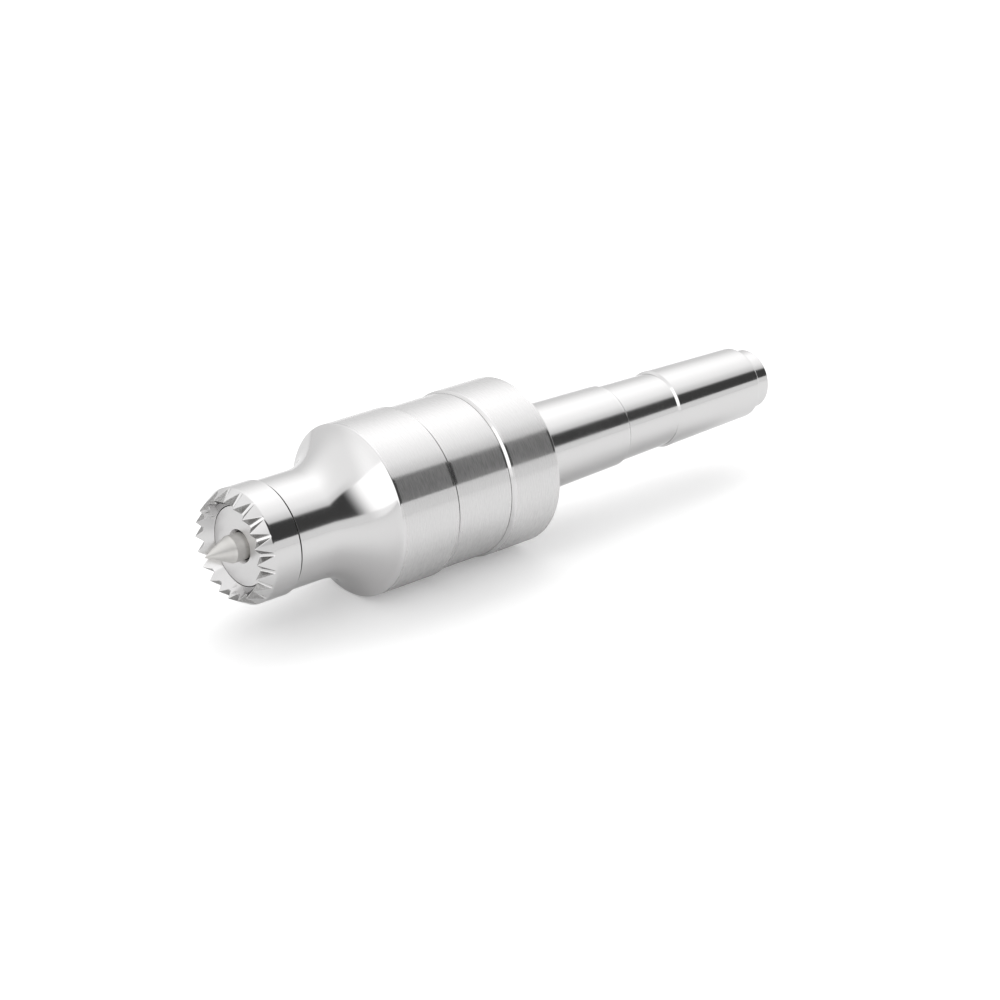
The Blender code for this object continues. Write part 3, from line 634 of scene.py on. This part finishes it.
# Circlip: a flat ring stamped from spring steel, sprung into the groove at the journal's end, where it keeps
# both inner rings on. It is widest opposite its opening and ends in two lugs for the pliers.
def lofted(name, sections):
    """A closed skin over a row of cross-sections, an array of (sections, points, 3) in millimetres, with both
    ends closed by one flat face."""
    count, points = sections.shape[:2]
    along, around = np.mgrid[0 : count - 1, 0:points]
    after, beside = along + 1, (around + 1) % points
    corners = [
        along * points + around,
        after * points + around,
        after * points + beside,
        along * points + beside,
    ]
    quads = np.stack(corners, -1).reshape(-1, 4)
    first, last = np.arange(points), np.arange(points)[::-1] + (count - 1) * points
    mesh = bpy.data.meshes.new(name)
    faces = [*quads.tolist(), first.tolist(), last.tolist()]
    mesh.from_pydata(sections.reshape(-1, 3) * MM, [], faces)
    bm = bmesh.new()
    bm.from_mesh(mesh)
    bmesh.ops.recalc_face_normals(bm, faces=bm.faces)
    bm.to_mesh(mesh)
    bm.free()
    mesh.shade_smooth()
    mesh.set_sharp_from_angle(angle=SMOOTH_ANGLE)
    piece = bpy.data.objects.new(name, mesh)
    bpy.context.scene.collection.objects.link(piece)
    return piece


CLIP_FRONT, CLIP_BACK = -2.5, -1.5
CLIP_INSIDE, CLIP_LUG, CLIP_NARROW, CLIP_WIDE = 4.4, 6.4, 5.5, 6.2
CLIP_OPENING, LUG_LENGTH, LUG_FADE = 40, math.radians(16), math.radians(1.2)
CLIP_POINTS = 161
clip_turn = np.radians(np.linspace(CLIP_OPENING / 2, 360 - CLIP_OPENING / 2, CLIP_POINTS))
clip_from_end = np.minimum(clip_turn - clip_turn[0], clip_turn[-1] - clip_turn)
clip_lug = 1 / (1 + np.exp((clip_from_end - LUG_LENGTH) / LUG_FADE))
clip_band = CLIP_NARROW + (CLIP_WIDE - CLIP_NARROW) * (1 - np.cos(clip_turn)) / 2
clip_outside = clip_band + (CLIP_LUG - clip_band) * clip_lug
clip_section = np.array([
    (0, 0.1), (0.03, 0), (0.97, 0), (1, 0.1), (1, 0.9), (0.97, 1), (0.03, 1), (0, 0.9)
])
clip_radius = CLIP_INSIDE + clip_section[:, 0] * (clip_outside[:, None] - CLIP_INSIDE)
clip_station = CLIP_FRONT + clip_section[:, 1] * (CLIP_BACK - CLIP_FRONT) + 0 * clip_radius
clip_sine, clip_cosine = np.sin(clip_turn)[:, None], np.cos(clip_turn)[:, None]
clip = lofted(
    "circlip_stamped",
    np.stack([clip_station, clip_radius * clip_sine, -clip_radius * clip_cosine], -1),
)
SPRING_STEEL = (0.26, 0.26, 0.28), (0.42, 0.42, 0.44)
clip_steel = turned_steel("clip_spring_steel", SPRING_STEEL, polish=0.28, edges=(CLIP_FRONT, CLIP_BACK))
fit_piece(clip, clip_steel, "head", "spring_steel", "circlip")


# Crown ring: the toothed ring that bites the work, hardened steel screwed onto the nose's spigot. Its front
# is a sharp edge between an outer and an inner cone, milled into teeth by flat-bottomed notches that fall
# outwards.
TEETH = 20
NOTCH_PHASE = math.radians(-7.7)
NOTCH_FLOOR = 0.5
CROWN_BACK, CROWN_OUTSIDE, CROWN_BORE, CROWN_BACK_RAMP = -57.954, 11.0, 7.65, 0.15
BARREL_FRONT, BORE_FRONT = -63.4, -63.5
TIP_RADIUS, TIP_HEIGHT = 9.35, 8.93
MOUTH_HEIGHT, OUTER_HEIGHT = 5.8, 5.8
VALLEY_SHARE = 0.55
EDGE_SOFTNESS = 0.03
FLANK_FADE = 0.25
COLUMNS_PER_TOOTH = 40
FRONT_ROWS = 72


def tooth_slopes(radius, turn):
    """Five heights above the crown's back face, at a radius and a turn round the axis: the outer cone, the
    inner cone, the flanks of the two nearest notches and the flat bottom, falling outwards, from which both
    rise."""
    pitch = 2 * np.pi / TEETH
    from_notch = np.abs((turn - NOTCH_PHASE + pitch / 2) % pitch - pitch / 2)
    valley_radius = CROWN_BORE + (TIP_RADIUS - CROWN_BORE) * VALLEY_SHARE
    valley_height = MOUTH_HEIGHT + (TIP_HEIGHT - MOUTH_HEIGHT) * VALLEY_SHARE
    fall = (valley_height - OUTER_HEIGHT) / (CROWN_OUTSIDE - valley_radius)
    bottom = OUTER_HEIGHT + fall * (CROWN_OUTSIDE - radius)
    tip_bottom = OUTER_HEIGHT + fall * (CROWN_OUTSIDE - TIP_RADIUS)
    rise = (TIP_HEIGHT - tip_bottom) / (TIP_RADIUS * math.sin(pitch / 2) - NOTCH_FLOOR / 2)
    outer_share = (CROWN_OUTSIDE - radius) / (CROWN_OUTSIDE - TIP_RADIUS)
    inner_share = (radius - CROWN_BORE) / (TIP_RADIUS - CROWN_BORE)
    outer = OUTER_HEIGHT + (TIP_HEIGHT - OUTER_HEIGHT) * outer_share
    inner = MOUTH_HEIGHT + (TIP_HEIGHT - MOUTH_HEIGHT) * inner_share
    past_floor = radius * np.sin(from_notch) - NOTCH_FLOOR / 2
    near = bottom + rise * (past_floor + np.hypot(past_floor, EDGE_SOFTNESS)) / 2
    far = bottom + rise * (radius * np.sin(pitch - from_notch) - NOTCH_FLOOR / 2)
    return np.stack(np.broadcast_arrays(outer, inner, near, far, bottom))


def tooth_height(radius, turn):
    """How far the crown's front stands ahead of its back face: the lowest of the cones and flanks, by a soft
    minimum (the logarithm of summed exponentials) that breaks the edges."""
    return -EDGE_SOFTNESS * np.log(np.exp(-tooth_slopes(radius, turn)[:4] / EDGE_SOFTNESS).sum(0))


crown_steps = TEETH * COLUMNS_PER_TOOTH
crown_turns = 2 * np.pi * np.arange(crown_steps) / crown_steps
front_radii = np.linspace(CROWN_BORE, CROWN_OUTSIDE, FRONT_ROWS)[:, None] + 0 * crown_turns
front_stations = CROWN_BACK - tooth_height(front_radii, crown_turns)
barrel = rounded([
    (BARREL_FRONT, CROWN_OUTSIDE, 0),
    (CROWN_BACK - CROWN_BACK_RAMP, CROWN_OUTSIDE, CRISP),
    (CROWN_BACK, NECK_RADIUS, CRISP),
    (CROWN_BACK, CROWN_BORE, BROKEN),
    (BORE_FRONT, CROWN_BORE, 0),
])
barrel_stations, barrel_radii = (np.repeat(barrel[:, k : k + 1], crown_steps, 1) for k in (0, 1))
crown = turned_grid(
    "crown_ring_milled",
    np.vstack([front_stations, barrel_stations]),
    np.vstack([front_radii, barrel_radii]),
    ring=True,
)
crown_places = np.empty(3 * len(crown.data.vertices))
crown.data.vertices.foreach_get("co", crown_places)
crown_x, crown_y, crown_z = crown_places.reshape(-1, 3).T / MM
crown_slopes = tooth_slopes(np.hypot(crown_y, crown_z), np.arctan2(crown_y, crown_z))
on_flank = np.exp((crown_slopes[:4].min(0) - crown_slopes[2:4].min(0)) / EDGE_SOFTNESS)
on_flank *= np.clip((crown_slopes[2] - crown_slopes[4]) / FLANK_FADE, 0, 1)
crown.data.attributes.new("milled", "FLOAT", "POINT").data.foreach_set(
    "value", on_flank * (crown_x < CROWN_BACK - OUTER_HEIGHT)
)
CROWN_WORN = -57.95, -66.8
crown_steel = turned_steel("crown_hardened_steel", BODY_STEEL, polish=0.08, edges=CROWN_WORN)
fit_piece(crown, crown_steel, "head", "crown_steel", "crown_ring")


# Centre point: a hardened pin ground to a cone, which slides in the nose against a spring. A slot milled
# along its underside takes the grub screw's dog, so that it can neither turn nor fall out.
POINT_TIP, POINT_TAIL, POINT_RADIUS, POINT_STEPS = -71.534, -47.534, 2.6, 128
CONE_LENGTH, CONE_ROUND = 5.55, 0.15
BLUNT_LENGTH, BLUNT_RADIUS = 0.05, 0.07
point = turned(
    "center_point_ground",
    rounded([
        (POINT_TIP, 0, 0),
        (POINT_TIP + BLUNT_LENGTH, BLUNT_RADIUS, BROKEN),
        (POINT_TIP + CONE_LENGTH, POINT_RADIUS, CONE_ROUND),
        (POINT_TAIL, POINT_RADIUS, ROUND),
        (POINT_TAIL, 0, 0),
    ]),
    steps=POINT_STEPS,
)
SLOT_FROM, SLOT_TO, SLOT_HALF, SLOT_BED, SLOT_POINTS = -58.904, -51.654, 1.3, 1.7, 17
slot_turn = np.linspace(-np.pi / 2, np.pi / 2, SLOT_POINTS)
slot_end = np.stack([SLOT_HALF * np.cos(slot_turn), SLOT_HALF * np.sin(slot_turn)], 1)
slot_outline = np.vstack([slot_end + (SLOT_TO - SLOT_HALF, 0), (SLOT_FROM + SLOT_HALF, 0) - slot_end])
drilled(point, slot_outline, -2 * POINT_RADIUS, -SLOT_BED)
POINT_STEEL = (0.56, 0.55, 0.535), (0.7, 0.69, 0.67)
point_steel = turned_steel("point_ground_steel", POINT_STEEL, polish=0.34, edges=(POINT_TIP + CONE_LENGTH,))
fit_piece(point, point_steel, "point", "point_steel", "center_point")


# Point spring: drawn spring wire, coiled with closed ends, between the point's tail and the end of its bore.
# It pushes the point out and lets it sink in as the work is pressed onto the crown.
WIRE_RADIUS, WIRE_POINTS = 0.3, 14
COIL_RADIUS, COIL_TURNS, COIL_POINTS = 2.15, 7, 48
COIL_SEAT, CLOSED_PITCH = 0.4, 0.72
COIL_FROM, COIL_TO = POINT_TAIL + COIL_SEAT, BORE_END - COIL_SEAT
coil_share = np.linspace(0, 1, COIL_POINTS * COIL_TURNS + 1)
coil_turn = 2 * np.pi * COIL_TURNS * coil_share
closed_rise = CLOSED_PITCH / (COIL_TO - COIL_FROM)
rise_at = (0, 1 / COIL_TURNS, 1 - 1 / COIL_TURNS, 1)
coil_rise = np.interp(coil_share, rise_at, (0, closed_rise, 1 - closed_rise, 1))
coil_station = COIL_FROM + (COIL_TO - COIL_FROM) * coil_rise
wire_turn = 2 * np.pi * np.arange(WIRE_POINTS) / WIRE_POINTS
wire_away = COIL_RADIUS + WIRE_RADIUS * np.cos(wire_turn)
coil_points = [
    coil_station[:, None] + WIRE_RADIUS * np.sin(wire_turn),
    np.sin(coil_turn)[:, None] * wire_away,
    -np.cos(coil_turn)[:, None] * wire_away,
]
spring = lofted("point_spring_coiled", np.stack(coil_points, -1))
wire_steel = turned_steel("spring_drawn_wire", SPRING_STEEL, polish=0.26)
fit_piece(spring, wire_steel, "head", "spring_steel", "point_spring")
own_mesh(spring)


# Grub screw: a black oxide socket screw in the neck's underside. Its dog rides in the point's slot and sets
# how far the point travels.
GRUB_SUNK, GRUB_STEPS = 0.6, 96
GRUB_HEAD, GRUB_TIP, GRUB_SHOULDER = NECK_RADIUS - GRUB_SUNK, 2.0, 2.85
GRUB_RADIUS, GRUB_DOG, GRUB_CHAMFER, DOG_ROUND = 2.0, 1.0, 0.3, 0.15
grub = turned(
    "point_grub_screw_black",
    rounded([
        (GRUB_TIP, 0, 0),
        (GRUB_TIP, GRUB_DOG, DOG_ROUND),
        (GRUB_SHOULDER, GRUB_DOG, CRISP),
        (GRUB_SHOULDER, GRUB_RADIUS - GRUB_CHAMFER, CRISP),
        (GRUB_SHOULDER + GRUB_CHAMFER, GRUB_RADIUS, CRISP),
        (GRUB_HEAD - GRUB_CHAMFER, GRUB_RADIUS, CRISP),
        (GRUB_HEAD, GRUB_RADIUS - GRUB_CHAMFER, CRISP),
        (GRUB_HEAD, 0, 0),
    ]),
    steps=GRUB_STEPS,
)
grub.data.transform(Matrix.Translation((GRUB_STATION * MM, 0, 0)) @ Matrix.Rotation(math.pi / 2, 4, "Y"))
SOCKET_ACROSS, SOCKET_DEPTH, SOCKET_OVERRUN = 2.0, 1.8, 1
hexagon = np.radians(np.arange(0, 360, 60))
socket = SOCKET_ACROSS / math.sqrt(3) * np.stack([np.cos(hexagon), np.sin(hexagon)], 1) + (GRUB_STATION, 0)
drilled(grub, socket, -GRUB_HEAD - SOCKET_OVERRUN, -GRUB_HEAD + SOCKET_DEPTH)
BLACK_OXIDE = (0.035, 0.035, 0.038), (0.09, 0.088, 0.085)
grub_black = turned_steel("grub_black_oxide", BLACK_OXIDE, polish=0.38)
fit_piece(grub, grub_black, "head", "screw_black", "point_grub_screw")


# Studio: a pale floor that the part lies on, one soft lamp above and behind, and a light tent for the steel
# to mirror: pale cloth with the lamp's glow on it, a white side beyond the nose and a dark flap beside the
# camera. None of it belongs to the part.
BLACK, WHITE = (0, 0, 0), (1, 1, 1)


def stage_piece(name, points, faces):
    """A plain sheet of the studio with a matt black paint, the paint's shader and a wire of its place."""
    mesh = bpy.data.meshes.new(name)
    mesh.from_pydata(points, [], faces)
    sheet = bpy.data.objects.new(name, mesh)
    bpy.context.scene.collection.objects.link(sheet)
    paint, shader, place = new_finish(f"{name}_paint", 0.0)
    shader.inputs["Base Color"].default_value = (*BLACK, 1)
    shader.inputs["Roughness"].default_value = 1.0
    shader.inputs["Specular IOR Level"].default_value = 0.0
    shader.inputs["Emission Strength"].default_value = 1.0
    sheet.data.materials.append(paint)
    return sheet, shader, place


def shown(tree):
    """1 on rays from the camera, a mirror or a clear piece, and 0 on those that only carry light."""
    path = tree.nodes.new("ShaderNodeLightPath")
    rays = [Wire(path.outputs[f"Is {kind} Ray"]) for kind in ("Camera", "Glossy", "Transmission")]
    camera_ray, glossy_ray, clear_ray = rays
    return camera_ray.maths("MAXIMUM", camera_ray, glossy_ray.maths("MAXIMUM", glossy_ray, clear_ray))


FLOOR_LEVEL = -0.01675
FLOOR_REACH = 4.0
FLOOR_PALE = 0.86, 0.86, 0.86, 1
FLOOR_MIRRORED, FLOOR_LIFT = 0.04, 0.16
corner = np.array([(-1, -1), (1, -1), (1, 1), (-1, 1)]) * FLOOR_REACH
floor, floor_shader, floor_place = stage_piece(
    "floor", np.column_stack([corner, np.full(4, FLOOR_LEVEL)]), [(0, 1, 2, 3)]
)
floor_shader.inputs["Base Color"].default_value = FLOOR_PALE
floor_seen = shown(floor_place.socket.id_data)
floor_photographed = floor_place.node("ShaderNodeLightPath", {}, {}, "Is Camera Ray")
floor_light = FLOOR_MIRRORED * floor_seen + FLOOR_LIFT * floor_photographed
floor_light.tint(BLACK, WHITE).into(floor_shader, "Emission Color")


def unit(*direction):
    """The direction as a vector of length one."""
    return np.array(direction) / np.linalg.norm(direction)


TENT_RADIUS = 2.0
TENT_RISE, TENT_ROUND, TENT_TOP = 24, 48, 89.5
tent_rise = np.radians(np.linspace(0, TENT_TOP, TENT_RISE))[:, None]
tent_round = 2 * np.pi * np.arange(TENT_ROUND) / TENT_ROUND
tent_row, tent_step = np.mgrid[0 : TENT_RISE - 1, 0:TENT_ROUND]
tent_beside = (tent_step + 1) % TENT_ROUND
tent_faces = [
    tent_row * TENT_ROUND + tent_step,
    tent_row * TENT_ROUND + tent_beside,
    (tent_row + 1) * TENT_ROUND + tent_beside,
    (tent_row + 1) * TENT_ROUND + tent_step,
]
tent_points = np.broadcast_arrays(
    np.cos(tent_rise) * np.cos(tent_round), np.cos(tent_rise) * np.sin(tent_round), np.sin(tent_rise)
)
tent, tent_shader, tent_place = stage_piece(
    "light_tent",
    TENT_RADIUS * np.stack(tent_points, -1).reshape(-1, 3),
    np.stack(tent_faces, -1).reshape(-1, 4).tolist(),
)
towards = tent_place.node("ShaderNodeVectorMath", {"operation": "NORMALIZE"}, {0: tent_place})


def along(direction):
    """How far the tent's place lies along a direction, as the cosine between the two."""
    sockets = {0: towards, 1: direction}
    return towards.node("ShaderNodeVectorMath", {"operation": "DOT_PRODUCT"}, sockets, 1)


CLOTH_LIGHT, OVERHEAD_LIGHT, NOSE_SIDE_LIGHT, GLOW_LIGHT = 0.95, 0.22, 0.3, 0.5
OVERHEAD, NOSE_SIDE = (0.15, 0.75), (0.45, 0.85)
GLOW_TOWARDS, GLOW_WIDTH = unit(0.613, 0.283, 0.738), 0.103
FLAP_LIGHT, WHITE_SIDE_LIGHT = 0.06, 1.65
WHITE_SIDE_LEAN, WHITE_SIDE_START, WHITE_SIDE_FADE = 0.35, 0.1, (0.1, 0.78)
FLAP_TOP_X, FLAP_TOP_Y, FLAP_TOP_Z, FLAP_BEND = 0.307, 0.805, 0.506, 0.58
FLAP_FOOT, FOOT_FADE = unit(-0.02, 0.25, 1.0), (-0.01, 0.01)
FLAP_SHADE, SHADE_FADE = 0.3, (-0.35, -0.05)
DARK_TOP_FADE, WHITE_TOP_SHIFT = (-0.09, -0.01), (0.07, 0.03)
BRIGHTEST = 2.0
right, ahead, up = along((1, 0, 0)), along((0, 1, 0)), along((0, 0, 1))
glow = right.maths("EXPONENT", (along(GLOW_TOWARDS) - 1) * (1 / GLOW_WIDTH))
overhead, nose_side = up.between(*OVERHEAD), (-1 * right).between(*NOSE_SIDE)
cloth = CLOTH_LIGHT + OVERHEAD_LIGHT * overhead + NOSE_SIDE_LIGHT * nose_side + GLOW_LIGHT * glow
white_side = (WHITE_SIDE_LEAN * up - right - WHITE_SIDE_START).between(*WHITE_SIDE_FADE)
flap = FLAP_LIGHT + WHITE_SIDE_LIGHT * white_side
bent_right = right.maths("MINIMUM", right, FLAP_BEND)
past_top = -FLAP_TOP_Y * ahead - FLAP_TOP_Z * up - FLAP_TOP_X * bent_right
above_foot = along(FLAP_FOOT).between(*FOOT_FADE)
cloth = cloth - FLAP_SHADE * past_top.between(*SHADE_FADE) * (1 - white_side) * above_foot
top_fade = [dark + shift * white_side for dark, shift in zip(DARK_TOP_FADE, WHITE_TOP_SHIFT)]
on_flap = above_foot * past_top.between(*top_fade)
tent_light = (cloth + (flap - cloth) * on_flap) * (1 / BRIGHTEST)
tent_light.tint(BLACK, [BRIGHTEST] * 3).into(tent_shader, "Emission Color")
for rays in ("visible_camera", "visible_diffuse", "visible_shadow", "visible_transmission"):
    setattr(tent, rays, False)

LAMP_TOWARDS, LAMP_DISTANCE = unit(0.462, 0.415, 0.783), 0.75
LAMP_LONG, LAMP_WIDE, LAMP_WATTS = 0.9, 0.5, 2.6
lamp_data = bpy.data.lights.new("soft_lamp", "AREA")
lamp_data.shape = "RECTANGLE"
lamp_data.size = LAMP_LONG
lamp_data.size_y = LAMP_WIDE
lamp_data.energy = LAMP_WATTS
lamp = bpy.data.objects.new("soft_lamp", lamp_data)
lamp.location = LAMP_TOWARDS * LAMP_DISTANCE
lamp_right = unit(*(np.array([1.0, 0, 0]) - LAMP_TOWARDS[0] * LAMP_TOWARDS))
lamp_up = np.cross(LAMP_TOWARDS, lamp_right)
lamp.rotation_euler = Matrix(np.column_stack([lamp_right, lamp_up, LAMP_TOWARDS])).to_euler()
lamp.visible_glossy = False
bpy.context.scene.collection.objects.link(lamp)

FILL_LIGHT = 0.98
world = bpy.data.worlds.new("studio")
world.use_nodes = True
bpy.context.scene.world = world
background = world.node_tree.nodes["Background"]
background.inputs["Color"].default_value = (*WHITE, 1)
(FILL_LIGHT + (1 - FILL_LIGHT) * shown(world.node_tree)).into(background, "Strength")

CAMERA_PLACE = -0.32703, -0.36681, 0.19673
CAMERA_DIP, CAMERA_TURN = math.radians(22.68), math.radians(-41.654)
CAMERA_SENSOR, CAMERA_LENS, CAMERA_NEAR = 36.0, 97.664, 0.01
camera_data = bpy.data.cameras.new("camera")
camera_data.sensor_width = CAMERA_SENSOR
camera_data.lens = CAMERA_LENS
camera_data.clip_start = CAMERA_NEAR
camera = bpy.data.objects.new("camera", camera_data)
camera.location = CAMERA_PLACE
camera.rotation_euler = (math.pi / 2 - CAMERA_DIP, 0, CAMERA_TURN)
bpy.context.scene.collection.objects.link(camera)
bpy.context.scene.camera = camera
bpy.context.scene.view_settings.view_transform = "Standard"
